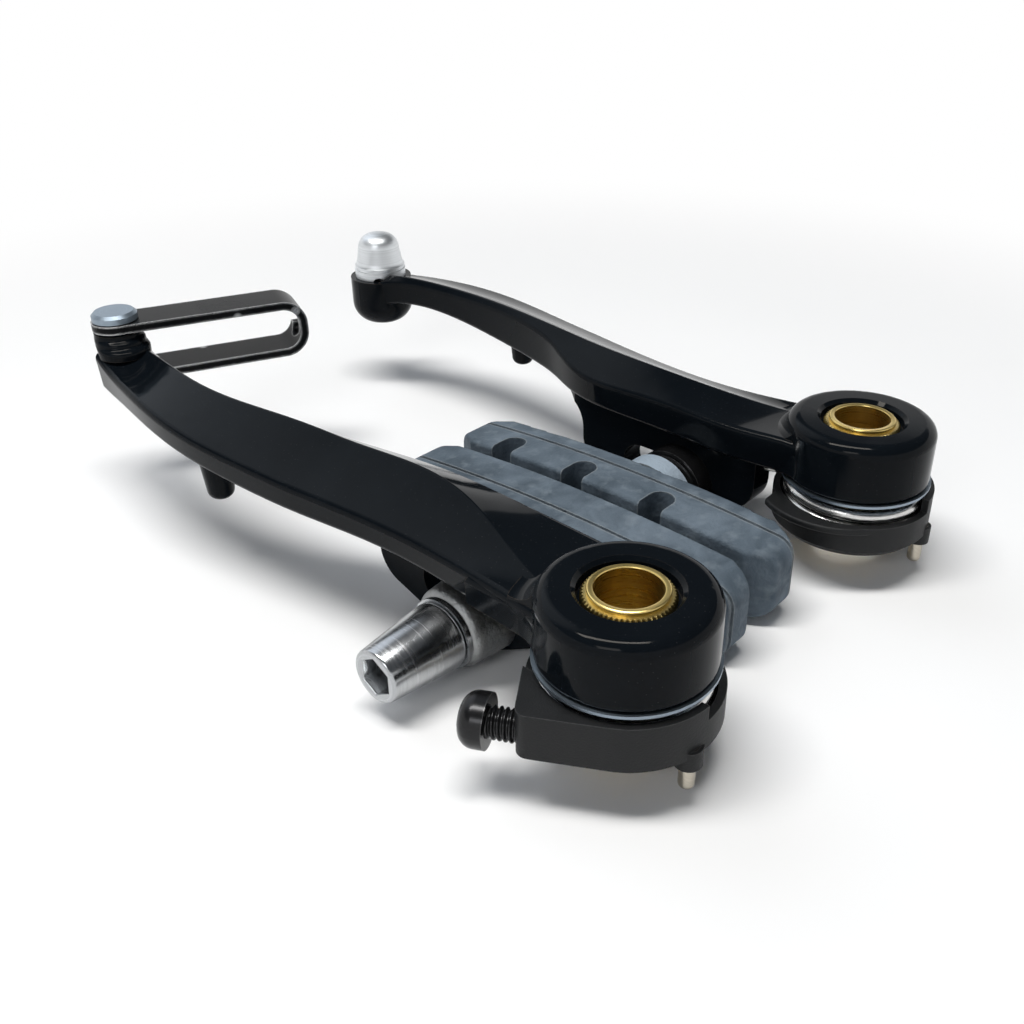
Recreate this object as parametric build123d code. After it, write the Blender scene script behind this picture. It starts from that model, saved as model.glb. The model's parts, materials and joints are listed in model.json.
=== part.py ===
"""Linear-pull rim brake: two mirrored arm assemblies lying side by side, front faces up.

Frame: millimetres, +Z up along the pivot axes (the front of the mounted brake), +Y from the
pivots to the arm tips, +X from the left arm to the right arm. The origin lies midway between
the two pivot axes, on the plane where the spring housings seat on the frame bosses.

Each sub-part is drawn for the left arm, in arm coordinates: pivot axis on Z, inward is +X.
"""
import math
import os
from collections import namedtuple

from build123d import *

# Layout
PIVOT_SPACING = 56.8
OVERRUN = 1.0              # sunk joints and cutters reach this far past a face
TIP_REACH = 105.5          # pivot axis to link rivet or cable bolt

# Heights on the pivot, from the seat upwards
HOUSING_HEIGHT = 7.3
HOUSING_TOP_GAP = 0.8
THRUST_WASHER_THICKNESS = 0.4
THRUST_WASHER_RIM = 0.3    # beyond the boss
FACE_GAP = 0.05            # between flat faces that lie on each other
BOSS_HEIGHT = 8.85
BOSS_BOTTOM = HOUSING_HEIGHT + HOUSING_TOP_GAP + THRUST_WASHER_THICKNESS + FACE_GAP
BOSS_TOP = BOSS_BOTTOM + BOSS_HEIGHT

# Pivot boss and bush
BOSS_RADIUS = 10.75
BOSS_ROUND = 1.8
BOSS_EDGE = 0.6
STUD_RADIUS = 4.0          # frame stud that the bush runs on
BUSH_WALL = 1.15
BUSH_RING_WALL = 0.8       # plain ring above the knurled band
BUSH_RING_HEIGHT = 1.0
BUSH_FIT = 0.02
BUSH_RADIUS = STUD_RADIUS + BUSH_WALL
RECESS_RADIUS = 6.0
RECESS_DEPTH = 1.8
RECESS_CHAMFER = 0.5

# Arm bar: cross-sections from the boss to the neck, then one tip section for each arm. Each lies at
# a share of the reach. Drops are below the boss top; the ridge splits the face in two slopes.
Station = namedtuple(
    "Station", "share outer outer_drop ridge ridge_drop inner inner_drop outer_floor inner_floor")
BAR_STATIONS = (
    Station(0.04, -7.0, 3.6, -2.4, 3.5, 9.4, 3.2, 8.6, 8.6),
    Station(0.14, -6.1, 3.6, -0.8, 3.2, 9.9, 3.0, 8.6, 8.6),
    Station(0.235, -5.2, 4.1, 2.6, 1.3, 10.0, 2.9, 8.3, 8.3),
    Station(0.335, -5.3, 4.0, 4.3, -0.1, 10.1, 3.0, 7.9, 7.9),
    Station(0.43, -6.3, 3.7, 3.6, -0.3, 9.3, 3.1, 7.8, 7.8),
    Station(0.525, -7.6, 3.3, 2.4, -0.6, 5.2, 1.4, 7.6, 7.6),
    Station(0.62, -8.6, 2.7, 1.2, -0.9, 2.4, 0.4, 7.0, 7.1),
    Station(0.71, -9.2, 1.9, 0.1, -0.9, 1.1, 0.3, 6.1, 6.3),
    Station(0.81, -8.5, 1.1, 0.1, -1.0, 1.1, 0.2, 5.4, 4.9),
    Station(0.905, -6.6, 0.9, 1.3, -1.1, 2.4, 0.1, 5.5, 4.4),
)
LINK_TIP = Station(1.0, -4.7, -1.2, 1.4, -2.2, 3.7, -1.2, 5.5, 4.4)
CABLE_TIP = Station(0.967, -5.0, 1.0, 2.0, -0.2, 4.4, 1.0, 6.0, 5.6)
BAR_DISH = 0.4             # hollow of the outer slope
BAR_EDGE = 0.9
RIDGE_ROUND = 0.4
BAR_DRAFT = 0.4
ROOT_BLEND = 6.0           # plan radius where the bar runs into the boss
ROOT_LENGTH = 20.0
ROOT_TAPER = 1.2           # how far the root dives into the bar's sides
ROOT_SINK = 0.7            # top of the root blend below the bar's face
ROOT_EDGE = 0.9
RAMP_WIDTH = 3.4           # hollow ramp from the bar's face up to the boss
RAMP_HOLLOW = 0.3          # share of its width and rise at its middle

# Web that carries the pad post
WEB_OUTER = 3.0
WEB_THICKNESS = 4.5
WEB_START = 12.5
WEB_END = 46.3
WEB_DEPTH = 19.2           # below the bar's face
WEB_ROUND = 5.0
WEB_FLARE = 6.0            # hollow curve from the web's end to the bar
WEB_SPLAY = 7.0            # slant of that end across the web, in line with the bar's inner side
WEB_SPLAY_START = 2.0      # from the web's end
WEB_JOIN = 7.8             # bar's underside there, below the boss top
WEB_TOE = 8.5              # slanted ends start this far from the post
WEB_HEEL_TOE = 2.0         # the same on the boss side
WEB_HEEL = 0.2             # above the post axis, where the boss end begins to slant
WEB_CORNER = 2.0           # below the post axis, where the other end begins to slant
SLOT_TRAVEL = 5.0          # post travel each way along the slot
SLOT_SHIFT = 3.0           # middle of the slot beyond the post as it lies
SLOT_CLEARANCE = 0.4
POST_ALONG = 26.0
POST_DROP = 16.6           # post axis below the boss top

# Spring: coil, bend and straight leg
WIRE_RADIUS = 0.9
COIL_RADIUS = 9.5
COIL_PITCH = 2.1
LEG_ANGLE = 85.0           # where the coil ends, about the pivot
WHOLE_TURNS = 2
COIL_GAP = 0.45
TAIL_LENGTH = 5.6          # straight end that the tension screw bears on
TAIL_CLEARANCE = 0.2
LEG_BEND = 3.0
LEG_DROP = 6.4             # straight leg below the boss top
LEG_RISE_START = 14.2
LEG_RISE_END = 21.0
LEG_REACH = 77.0
LEG_ROUND = 3.0
CHANNEL_CLEARANCE = 0.5

# Peg under the bar that the spring leg pushes on
PEG_RADIUS = 1.9
PEG_ROOT_RADIUS = 2.7
PEG_ALONG = 72.0
PEG_DROP = 12.8
PEG_ROUND = 1.4
PEG_GAP = 0.05

# Tip of the left arm: lug, link and rivet
LUG_RADIUS = 3.7
LUG_TOP = 4.2              # above the boss top
LUG_BOTTOM = -2.5
LUG_RELIEF = 10.5          # round clearance under the bar for the lower leaf
LUG_SKIRT_GAP = 0.2        # from the leaf to the skirt on its outer side
LINK_LENGTH = 30.5         # rivet axis to outside of the bridge
LINK_WIDTH = 7.6
LINK_SHEET = 1.4
LINK_GAP = 0.15
LINK_CORNER = 4.2
LINK_EDGE = 0.35
LINK_TURN = -24.0          # degrees from straight inwards, as it lies
NOODLE_RADIUS = 2.6
CABLE_SLOT = 2.2
RIVET_RADIUS = 2.4
RIVET_RUNNING = 0.06
RIVET_FIT = 0.02
RIVET_HEAD_RADIUS = 3.6
RIVET_HEAD = 1.4
RIVET_BEVEL = 0.5
RIVET_FOOT_RADIUS = 3.1
RIVET_FOOT = 0.9

# Tip of the right arm: boss, clamp washer and cable bolt
ANCHOR_RADIUS = 6.0
ANCHOR_TOP = -0.8
ANCHOR_HEIGHT = 9.4
ANCHOR_ROUND = 4.2
CABLE_RADIUS = 0.75
CLAMP_RADIUS = 5.0
CLAMP_SEAT_GAP = 0.4       # spot face round the clamp washer
CLAMP_THICKNESS = 1.6
BOLT_RADIUS = 2.5
BOLT_FIT = 0.02
BOLT_DEPTH = 5.6
BOLT_HEAD_RADIUS = 4.3
BOLT_HEAD_HEIGHT = 7.0
BOLT_DOME = 2.6
BOLT_FLANGE_RADIUS = 4.9
BOLT_FLANGE = 0.7
BOLT_NECK = 2.6            # top of the hollow flare above the flange's seat
BOLT_SHOULDER_RADIUS = 4.0

# Spring housing
HOUSING_RADIUS = 11.7
HOUSING_WALL = 1.0
HOUSING_FLOOR = 2.1
HOUSING_HUB_WALL = 1.9
HOUSING_HOLE_GAP = 0.35
HOUSING_CORNER = 1.5
HOUSING_CHAMFER = 1.2
WINDOW_SILL = 5.2
WINDOW_BACK = -0.5
WINDOW_UP = 8.5
LEG_WINDOW_BACK = -8.5     # opening that the spring leg swings in
LIP_RADIUS = 12.0
LIP_SHIFT_IN = 1.2         # lip centre from the pivot
LIP_SHIFT_UP = 1.6
LIP_THICKNESS = 1.1
LIP_EDGE = 0.4

# Locating pin
PIN_RADIUS = 1.0
PIN_ROOT_RADIUS = 1.2
PIN_ORBIT = 10.6
PIN_ANGLE = 259.0
PIN_BOSS_RADIUS = 1.7
PIN_BOSS_DEPTH = 0.5
PIN_REACH = 4.1            # below the seat
PIN_FIT = 0.02
PIN_ROUND = 0.7

# Tension screw: its axis runs past the pivot at the coil radius
SCREW_ANGLE = -64.0        # heading of the axis, degrees from inwards
SCREW_RADIUS = 1.6         # core of the thread
SCREW_THREAD = 0.4         # room for the thread in the housing
SCREW_FACE = 10.2          # housing face before the axis foot
SCREW_WALL = 2.6           # from the axis to the housing corner
SCREW_SHOWN = 3.4
SCREW_TIP = 8.0            # shank end before the axis foot
SCREW_FEED = 2.0           # how far the screw can still go in
SCREW_HEAD_RADIUS = 3.3
SCREW_HEAD = 3.3
SCREW_HEAD_ROUND = 1.9
SCREW_RECESS = 2.3
SCREW_RECESS_WIDTH = 0.9
SCREW_RECESS_DEPTH = 1.4

# Pad and its post hardware, inwards from the web
WASHER_HOLE_GAP = 0.25
POST_RADIUS = 3.0
BALL_RADIUS = 9.0
BALL_DEPTH = 1.7           # how far the ball dips into its cup
CUP_RADIUS = 6.2
CUP_THICKNESS = 3.4
BALL_WASHER_RADIUS = 5.6
BALL_WASHER_EDGE = 2.6
BALL_GAP = 0.06
PAD_HUB_RADIUS = 6.6
PAD_HUB = 3.7
PAD_LENGTH = 60.0
PAD_SHIFT = 2.2            # middle of the pad beyond the post
PAD_HEIGHT = 11.0
PAD_THICKNESS = 10.0
PAD_SAG = 1.5              # arch of the pad along its length
PAD_RISE = 1.3             # middle of the pad above the post axis
PAD_CORNER = 3.0
PAD_NOSE = 4.2             # friction face stops short of the pad's ends
PAD_NOSE_DEPTH = 2.4
PAD_BACK_TAPER = 5.0
PAD_BACK_DEPTH = 3.0
PARTING_DEPTH = 0.4
PARTING_WIDTH = 0.6
GROOVE_WIDTH = 4.0
GROOVE_DEPTH = 5.0
GROOVE_PLACES = (-10.0, 4.5, 19.0)
GROOVE_STOP = 2.5          # left whole at the pad's closed edge
PAD_EDGE = 0.8
POST_SEAT = 6.5            # post length held in the pad
POST_FIT = 0.06            # the pad turns on its post

# Outwards from the web
OUTER_CUP_RADIUS = 6.1
OUTER_CUP = 7.0
OUTER_CUP_ROUND = 1.5
OUTER_CUP_TAPER = 0.5
COLLAR_RADIUS = 5.0
COLLAR_EDGE = 0.6
NUT_LENGTH = 11.3
NUT_WIDE = 4.7
NUT_NARROW = 3.7
NUT_EDGE = 0.5
NUT_SOCKET = 5.0           # across flats
NUT_SOCKET_DEPTH = 4.5
NUT_THREAD_FIT = 0.02

# Derived places
BAR_FACE = BOSS_TOP - BAR_STATIONS[0].outer_drop
WEB_INNER = WEB_OUTER + WEB_THICKNESS
POST_HEIGHT = BOSS_TOP - POST_DROP
PAD_ALONG = POST_ALONG + PAD_SHIFT
SLOT_RADIUS = POST_RADIUS + SLOT_CLEARANCE
LUG_TOP_Z = BOSS_TOP + LUG_TOP
LUG_BOTTOM_Z = BOSS_TOP + LUG_BOTTOM
LEAF_TOP = LUG_TOP_Z + LINK_GAP
LEAF_BOTTOM = LUG_BOTTOM_Z - LINK_GAP
ANCHOR_Z = BOSS_TOP + ANCHOR_TOP
CUP_FACE = WEB_INNER + FACE_GAP
BALL_SEAT = CUP_FACE + CUP_THICKNESS
OUTER_FACE = WEB_OUTER - FACE_GAP
OUTER_SEAT = OUTER_FACE - OUTER_CUP
NUT_MOUTH = OUTER_SEAT - COLLAR_EDGE - FACE_GAP
COIL_TOP = BOSS_BOTTOM - FACE_GAP - THRUST_WASHER_THICKNESS - COIL_GAP - WIRE_RADIUS
COIL_START = SCREW_ANGLE + 270.0
COIL_END = LEG_ANGLE + 360.0 * WHOLE_TURNS
COIL_TURN = (COIL_END - COIL_START) / 360.0
COIL_BOTTOM = COIL_TOP - COIL_TURN * COIL_PITCH
PIN_X = PIN_ORBIT * math.cos(math.radians(PIN_ANGLE))
PIN_Y = PIN_ORBIT * math.sin(math.radians(PIN_ANGLE))


def polar(radius, degrees):
    """Plan point at a radius and angle about the pivot."""
    angle = math.radians(degrees)
    return Vector(radius * math.cos(angle), radius * math.sin(angle), 0)


def upright(radius, low, high, x=0.0, y=0.0):
    """Cylinder on a vertical axis between two heights."""
    return Pos(x, y, (low + high) / 2) * Cylinder(radius, high - low)


def block(x_low, x_high, y_low, y_high, z_low, z_high):
    """Box between two corners."""
    size = Box(x_high - x_low, y_high - y_low, z_high - z_low)
    return Pos((x_low + x_high) / 2, (y_low + y_high) / 2, (z_low + z_high) / 2) * size


def turned(*points):
    """Outline of (radius, height) points, turned about the Z axis."""
    return revolve(Plane.XZ * make_face(Polyline(*points, close=True)), axis=Axis.Z)


def on_post(profile):
    """Profile drawn in (along X, radius), turned about the post axis."""
    axis = Axis((0, POST_ALONG, POST_HEIGHT), (1, 0, 0))
    plane = Plane((0, POST_ALONG, POST_HEIGHT), x_dir=(1, 0, 0), z_dir=(0, -1, 0))
    return revolve(plane * profile, axis=axis)


def ring_profile(start, end, radius):
    """Profile of a ring that fits loosely on the post."""
    hole = POST_RADIUS + WASHER_HOLE_GAP
    return Pos((start + end) / 2, (hole + radius) / 2) * Rectangle(end - start, radius - hole)


def post_bore(radius, start, end):
    """Cylinder on the post axis between two X places."""
    plane = Plane((start, POST_ALONG, POST_HEIGHT), z_dir=(1, 0, 0))
    return extrude(plane * Circle(radius), amount=end - start)


def ball_profile(centre):
    """Circle of the sphere that a ball washer and its cup share."""
    return Pos(centre, 0) * Circle(BALL_RADIUS)


# Arm


def bar_section(station):
    """Cross-section of the bar: hollow outer slope, ridge, inner slope and drafted sides."""
    outer = (station.outer, BOSS_TOP - station.outer_drop)
    ridge = (station.ridge, BOSS_TOP - station.ridge_drop)
    inner = (station.inner, BOSS_TOP - station.inner_drop)
    hollow = ((outer[0] + ridge[0]) / 2, (outer[1] + ridge[1]) / 2 - BAR_DISH)
    sides = Polyline(
        ridge, inner,
        (station.inner - BAR_DRAFT, BOSS_TOP - station.inner_floor),
        (station.outer + BAR_DRAFT, BOSS_TOP - station.outer_floor),
        outer,
    )
    section = make_face(ThreePointArc(outer, hollow, ridge) + sides)
    crest = section.vertices().sort_by_distance(ridge)[0]
    section = fillet(crest, RIDGE_ROUND)
    corners = [section.vertices().sort_by_distance(place)[0] for place in (outer, inner)]
    floor = section.vertices().sort_by(Axis.Y)[:2]
    section = fillet(corners + floor, BAR_EDGE)
    plane = Plane((0, station.share * TIP_REACH, 0), x_dir=(1, 0, 0), z_dir=(0, -1, 0))
    return plane * section


def bar(tip):
    """Bowed bar lofted from the boss to the tip."""
    return loft([bar_section(station) for station in BAR_STATIONS + (tip,)])


def boss():
    """Round pivot boss, still without its bore."""
    body = upright(BOSS_RADIUS, BOSS_BOTTOM, BOSS_TOP)
    body = fillet(body.edges().group_by(Axis.Z)[-1], BOSS_ROUND)
    return fillet(body.edges().group_by(Axis.Z)[0], BOSS_EDGE)


def root_blend():
    """Thick root of the bar, run into the boss with rounded corners in plan."""
    root = BAR_STATIONS[0]
    low = root.outer
    high = root.inner
    strip = make_face(Polyline((low, 0), (high, 0), (high - ROOT_TAPER, ROOT_LENGTH),
                               (low + ROOT_TAPER, ROOT_LENGTH), close=True))
    plan = Circle(BOSS_RADIUS - BUSH_FIT) + strip
    corners = [v for v in plan.vertices() if OVERRUN < v.Y < ROOT_LENGTH - OVERRUN]
    plan = fillet(corners, ROOT_BLEND)
    body = extrude(Plane((0, 0, BOSS_BOTTOM + BOSS_EDGE)) * plan,
                   amount=BAR_FACE - ROOT_SINK - BOSS_BOTTOM - BOSS_EDGE)
    return fillet(body.edges().group_by(Axis.Z)[-1], ROOT_EDGE)


def face_ramp():
    """Hollow ramp from the bar's face up to the rounded edge of the boss."""
    rise = BOSS_TOP - BOSS_ROUND - BAR_FACE
    inside = BOSS_RADIUS - OVERRUN
    outside = BOSS_RADIUS + RAMP_WIDTH
    low = BAR_FACE - ROOT_SINK
    hollow = (BOSS_RADIUS + RAMP_HOLLOW * RAMP_WIDTH, BAR_FACE + RAMP_HOLLOW * rise)
    edge = ThreePointArc((outside, BAR_FACE), hollow, (BOSS_RADIUS, BAR_FACE + rise))
    rest = Polyline((BOSS_RADIUS, BAR_FACE + rise), (inside, BAR_FACE + rise), (inside, low),
                    (outside, low), (outside, BAR_FACE))
    ring = revolve(Plane.XZ * make_face(edge + rest), axis=Axis.Z)
    root = BAR_STATIONS[0]
    return ring & block(root.outer + BAR_EDGE, root.inner - BAR_EDGE, 0, 2 * BOSS_RADIUS,
                        low, BOSS_TOP)


def pad_web():
    """Web under the bar with a flared top end and the slot for the pad post."""
    top = BAR_FACE - ROOT_SINK
    bottom = BAR_FACE - WEB_DEPTH
    join = BOSS_TOP - WEB_JOIN
    flare = TangentArc((WEB_END, join - WEB_FLARE), (WEB_END + WEB_FLARE, join), tangent=(0, 1))
    corners = ((WEB_START, POST_HEIGHT + WEB_HEEL), (POST_ALONG - WEB_HEEL_TOE, bottom),
               (POST_ALONG + WEB_TOE, bottom), (WEB_END, POST_HEIGHT - WEB_CORNER))
    outline = make_face(flare + Polyline(
        (WEB_END + WEB_FLARE, join), (WEB_END + WEB_FLARE, top), (WEB_START, top),
        *corners, (WEB_END, join - WEB_FLARE)))
    rounded = [outline.vertices().sort_by_distance(corner)[0] for corner in corners]
    outline = fillet(rounded, WEB_ROUND)
    web = extrude(Plane((WEB_OUTER, 0, 0), x_dir=(0, 1, 0), z_dir=(1, 0, 0)) * outline,
                  amount=WEB_THICKNESS)
    slant = WEB_END + WEB_SPLAY_START
    beyond = WEB_END + WEB_FLARE + WEB_SPLAY
    splay = make_face(Polyline((WEB_INNER, slant), (WEB_INNER, beyond), (WEB_OUTER, beyond),
                               (WEB_OUTER, slant + WEB_SPLAY), close=True))
    web -= extrude(Plane((0, 0, bottom)) * splay, amount=top - bottom)
    slot_plane = Plane((WEB_OUTER, POST_ALONG + SLOT_SHIFT, POST_HEIGHT), x_dir=(0, 1, 0), z_dir=(1, 0, 0))
    slot = extrude(slot_plane * SlotCenterToCenter(2 * SLOT_TRAVEL, 2 * SLOT_RADIUS),
                   amount=WEB_THICKNESS)
    return web - slot


def leg_place():
    """Plan place where the spring's bend ends and its straight leg begins."""
    turn = math.radians(COIL_END)
    heading = Vector(-math.sin(turn), math.cos(turn), 0)
    right = Vector(heading.Y, -heading.X, 0)
    sweep_angle = math.radians(COIL_END % 360.0)
    along = LEG_BEND * math.sin(sweep_angle)
    across = LEG_BEND * (1 - math.cos(sweep_angle))
    return polar(COIL_RADIUS, COIL_END) + heading * along + right * across


def spring_peg():
    """Tapered peg under the bar, on the outer side of the spring leg."""
    x = leg_place().X - WIRE_RADIUS - PEG_GAP - PEG_ROOT_RADIUS
    low = BOSS_TOP - PEG_DROP
    high = BOSS_TOP - LEG_DROP + 2 * WIRE_RADIUS
    peg = Pos(x, PEG_ALONG, (low + high) / 2) * Cone(PEG_RADIUS, PEG_ROOT_RADIUS, high - low)
    return fillet(peg.edges().group_by(Axis.Z)[0], PEG_ROUND)


def leg_channel():
    """Channel under the bar that the straight spring leg lies in."""
    half = WIRE_RADIUS + CHANNEL_CLEARANCE
    x = leg_place().X
    roof = BOSS_TOP - LEG_DROP + half
    return block(x - half, x + half, BOSS_RADIUS + half, LEG_REACH + half, 0, roof)


def pivot_cut():
    """Bore for the bush and the chamfered recess round its top."""
    bore = upright(BUSH_RADIUS + BUSH_FIT, BOSS_BOTTOM, BOSS_TOP)
    recess = upright(RECESS_RADIUS, BOSS_TOP - RECESS_DEPTH, BOSS_TOP)
    flare = Pos(0, 0, BOSS_TOP - RECESS_CHAMFER / 2) * Cone(
        RECESS_RADIUS, RECESS_RADIUS + RECESS_CHAMFER, RECESS_CHAMFER)
    return bore + recess + flare


def arm_body(tip):
    """What both arms share: boss, bar, web and spring peg."""
    body = boss() + root_blend() + bar(tip) + face_ramp() + pad_web()
    return body - leg_channel() + spring_peg() - pivot_cut()


def link_arm():
    """Arm that carries the link: a raised lug at its tip."""
    lug = upright(LUG_RADIUS, LUG_BOTTOM_Z, LUG_TOP_Z, 0, TIP_REACH)
    lug = fillet(lug.edges().group_by(Axis.Z)[-1], RIVET_BEVEL)
    relief = upright(LUG_RELIEF, 0, LUG_BOTTOM_Z, 0, TIP_REACH)
    relief &= block(-LINK_WIDTH / 2 - LUG_SKIRT_GAP, LUG_RELIEF, TIP_REACH - LUG_RELIEF,
                    TIP_REACH + LUG_RELIEF, 0, LUG_BOTTOM_Z)
    hole = upright(RIVET_RADIUS + RIVET_FIT, 0, LUG_TOP_Z, 0, TIP_REACH)
    return arm_body(LINK_TIP) + lug - relief - hole


def cable_arm():
    """Arm that clamps the cable: a round boss that bulges down at its tip."""
    end = upright(ANCHOR_RADIUS, ANCHOR_Z - ANCHOR_HEIGHT, ANCHOR_Z, 0, TIP_REACH)
    end = fillet(end.edges().group_by(Axis.Z)[0], ANCHOR_ROUND)
    hole = upright(BOLT_RADIUS + BOLT_FIT, ANCHOR_Z - BOLT_DEPTH, ANCHOR_Z, 0, TIP_REACH)
    seat = upright(CLAMP_RADIUS + CLAMP_SEAT_GAP, ANCHOR_Z, BOSS_TOP + ANCHOR_HEIGHT, 0, TIP_REACH)
    return arm_body(CABLE_TIP) + end - hole - seat


# Pivot


def pivot_bush():
    """Brass bush: plain ring at the top, full-width body through arm and housing."""
    ring = STUD_RADIUS + BUSH_RING_WALL
    shoulder = BOSS_TOP - BUSH_RING_HEIGHT
    return turned((STUD_RADIUS, 0), (BUSH_RADIUS, 0), (BUSH_RADIUS, shoulder), (ring, shoulder),
                  (ring, BOSS_TOP), (STUD_RADIUS, BOSS_TOP))


def thrust_washer():
    """Thin steel washer between the boss and the spring."""
    top = BOSS_BOTTOM - FACE_GAP
    low = top - THRUST_WASHER_THICKNESS
    ring = upright(BOSS_RADIUS + THRUST_WASHER_RIM, low, top)
    return ring - upright(BUSH_RADIUS + HOUSING_HOLE_GAP, low, top)


def return_spring():
    """Torsion spring: straight tail, coil round the pivot, bend, and leg up the arm's back."""
    coil = Pos(0, 0, COIL_BOTTOM) * Rot(0, 0, COIL_START) * Helix(
        COIL_PITCH, COIL_TOP - COIL_BOTTOM, COIL_RADIUS)
    end = coil @ 1
    heading = coil % 1
    foot = leg_place() + Vector(0, 0, end.Z)
    bend = TangentArc(end, foot, tangent=Vector(heading.X, heading.Y, 0))
    high = BOSS_TOP - LEG_DROP
    leg = FilletPolyline(foot, (foot.X, LEG_RISE_START, foot.Z), (foot.X, LEG_RISE_END, high),
                         (foot.X, LEG_REACH, high), radius=LEG_ROUND)
    foot, along = screw_line()
    tail = Line(foot - along * TAIL_LENGTH + Vector(0, 0, COIL_BOTTOM), coil @ 0)
    path = Wire([tail, coil] + bend.edges() + leg.edges())
    start = Plane(tail @ 0, z_dir=tail % 0)
    return sweep(start * Circle(WIRE_RADIUS), path=path)


# Spring housing


def screw_line():
    """Foot of the screw axis nearest the pivot, and the axis heading."""
    angle = math.radians(SCREW_ANGLE)
    heading = Vector(math.cos(angle), math.sin(angle), 0)
    return Vector(heading.Y, -heading.X, 0) * COIL_RADIUS, heading


def screw_plane(before_foot):
    """Plane across the screw axis, looking along its heading."""
    foot, heading = screw_line()
    place = foot - heading * before_foot + Vector(0, 0, COIL_BOTTOM)
    return Plane(place, z_dir=heading)


def housing_corner():
    """Plan centre of the rounded corner beside the tension screw."""
    foot, heading = screw_line()
    outward = Vector(heading.Y, -heading.X, 0)
    return foot - heading * (SCREW_FACE - HOUSING_CORNER) + outward * (SCREW_WALL - HOUSING_CORNER)


def spring_housing():
    """Moulded housing: drop-shaped block, spring cup, side window with a lip, pin boss."""
    corner = housing_corner()
    rounds = Circle(HOUSING_RADIUS) + Pos(corner.X, corner.Y) * Circle(HOUSING_CORNER)
    body = extrude(make_hull(rounds.edges()), amount=HOUSING_HEIGHT)
    body = chamfer(body.edges().group_by(Axis.Z)[0], HOUSING_CHAMFER)
    cup_radius = HOUSING_RADIUS - HOUSING_WALL
    hole = BUSH_RADIUS + HOUSING_HOLE_GAP
    hub = hole + HOUSING_HUB_WALL
    cup = upright(cup_radius, HOUSING_FLOOR, HOUSING_HEIGHT) - upright(hub, HOUSING_FLOOR, HOUSING_HEIGHT)
    body -= cup
    window = block(WINDOW_BACK, 2 * HOUSING_RADIUS, -2 * HOUSING_RADIUS, WINDOW_UP,
                   WINDOW_SILL, HOUSING_HEIGHT)
    window += block(LEG_WINDOW_BACK, 2 * HOUSING_RADIUS, 0, 2 * HOUSING_RADIUS,
                    WINDOW_SILL, HOUSING_HEIGHT)
    body -= window - upright(hub, WINDOW_SILL, HOUSING_HEIGHT)
    lip = upright(LIP_RADIUS, WINDOW_SILL - LIP_THICKNESS, WINDOW_SILL, LIP_SHIFT_IN, LIP_SHIFT_UP)
    lip = fillet(lip.edges(), LIP_EDGE) - upright(cup_radius, 0, HOUSING_HEIGHT)
    body += lip & block(WINDOW_BACK, 2 * HOUSING_RADIUS, -2 * HOUSING_RADIUS, WINDOW_UP,
                        0, HOUSING_HEIGHT)
    body += upright(PIN_BOSS_RADIUS, -PIN_BOSS_DEPTH, HOUSING_FLOOR, PIN_X, PIN_Y)
    body -= upright(PIN_ROOT_RADIUS + PIN_FIT, -PIN_BOSS_DEPTH, HOUSING_FLOOR, PIN_X, PIN_Y)
    body -= upright(hole, 0, HOUSING_HEIGHT)
    bore_end = SCREW_TIP - SCREW_FEED - TAIL_CLEARANCE
    shank = extrude(screw_plane(SCREW_FACE + SCREW_SHOWN) * Circle(SCREW_RADIUS + SCREW_THREAD),
                    amount=SCREW_FACE + SCREW_SHOWN - bore_end)
    tail = extrude(screw_plane(bore_end) * Circle(WIRE_RADIUS + TAIL_CLEARANCE), amount=bore_end)
    return body - shank - tail


def locating_pin():
    """Steel pin that goes into the hole of the frame boss."""
    pin = upright(PIN_RADIUS, -PIN_REACH, -PIN_BOSS_DEPTH, PIN_X, PIN_Y)
    pin = fillet(pin.edges().group_by(Axis.Z)[0], PIN_ROUND)
    return pin + upright(PIN_ROOT_RADIUS, -PIN_BOSS_DEPTH, HOUSING_FLOOR, PIN_X, PIN_Y)


def tension_screw():
    """Pan-head screw with a cross recess, shank inside the housing."""
    under_head = SCREW_FACE + SCREW_SHOWN
    shank = extrude(screw_plane(under_head) * Circle(SCREW_RADIUS), amount=under_head - SCREW_TIP)
    outside = screw_plane(under_head + SCREW_HEAD)
    head = extrude(outside * Circle(SCREW_HEAD_RADIUS), amount=SCREW_HEAD)
    rim = head.edges().filter_by(GeomType.CIRCLE).sort_by_distance(outside.origin)[0]
    head = fillet(rim, SCREW_HEAD_ROUND)
    bar_across = Rectangle(2 * SCREW_RECESS, SCREW_RECESS_WIDTH)
    cross = bar_across + Rot(0, 0, 90) * bar_across
    return shank + head - extrude(outside * cross, amount=SCREW_RECESS_DEPTH)


# Pad and post


def pad_outline():
    """Arched outline of the pad in the plane of its friction face."""
    half = PAD_LENGTH / 2
    rise = PAD_HEIGHT / 2
    upper = ThreePointArc((-half, rise - PAD_SAG), (0, rise), (half, rise - PAD_SAG))
    lower = ThreePointArc((half, -rise - PAD_SAG), (0, -rise), (-half, -rise - PAD_SAG))
    ends = Line(upper @ 1, lower @ 0) + Line(lower @ 1, upper @ 0)
    outline = make_face(upper + lower + ends)
    return fillet(outline.vertices(), PAD_CORNER)


def pad_plan():
    """Plan of the pad: bevelled at the friction face, tapered towards the back."""
    half = PAD_LENGTH / 2
    back = BALL_SEAT + BALL_WASHER_EDGE + PAD_HUB
    front = back + PAD_THICKNESS
    points = [
        (front, half - PAD_NOSE), (front - PAD_NOSE_DEPTH, half),
        (back + PAD_BACK_DEPTH, half), (back, half - PAD_BACK_TAPER),
    ]
    mirrored = [(x, -y) for x, y in reversed(points)]
    return make_face(Polyline(*points, *mirrored, close=True)), back, front


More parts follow.
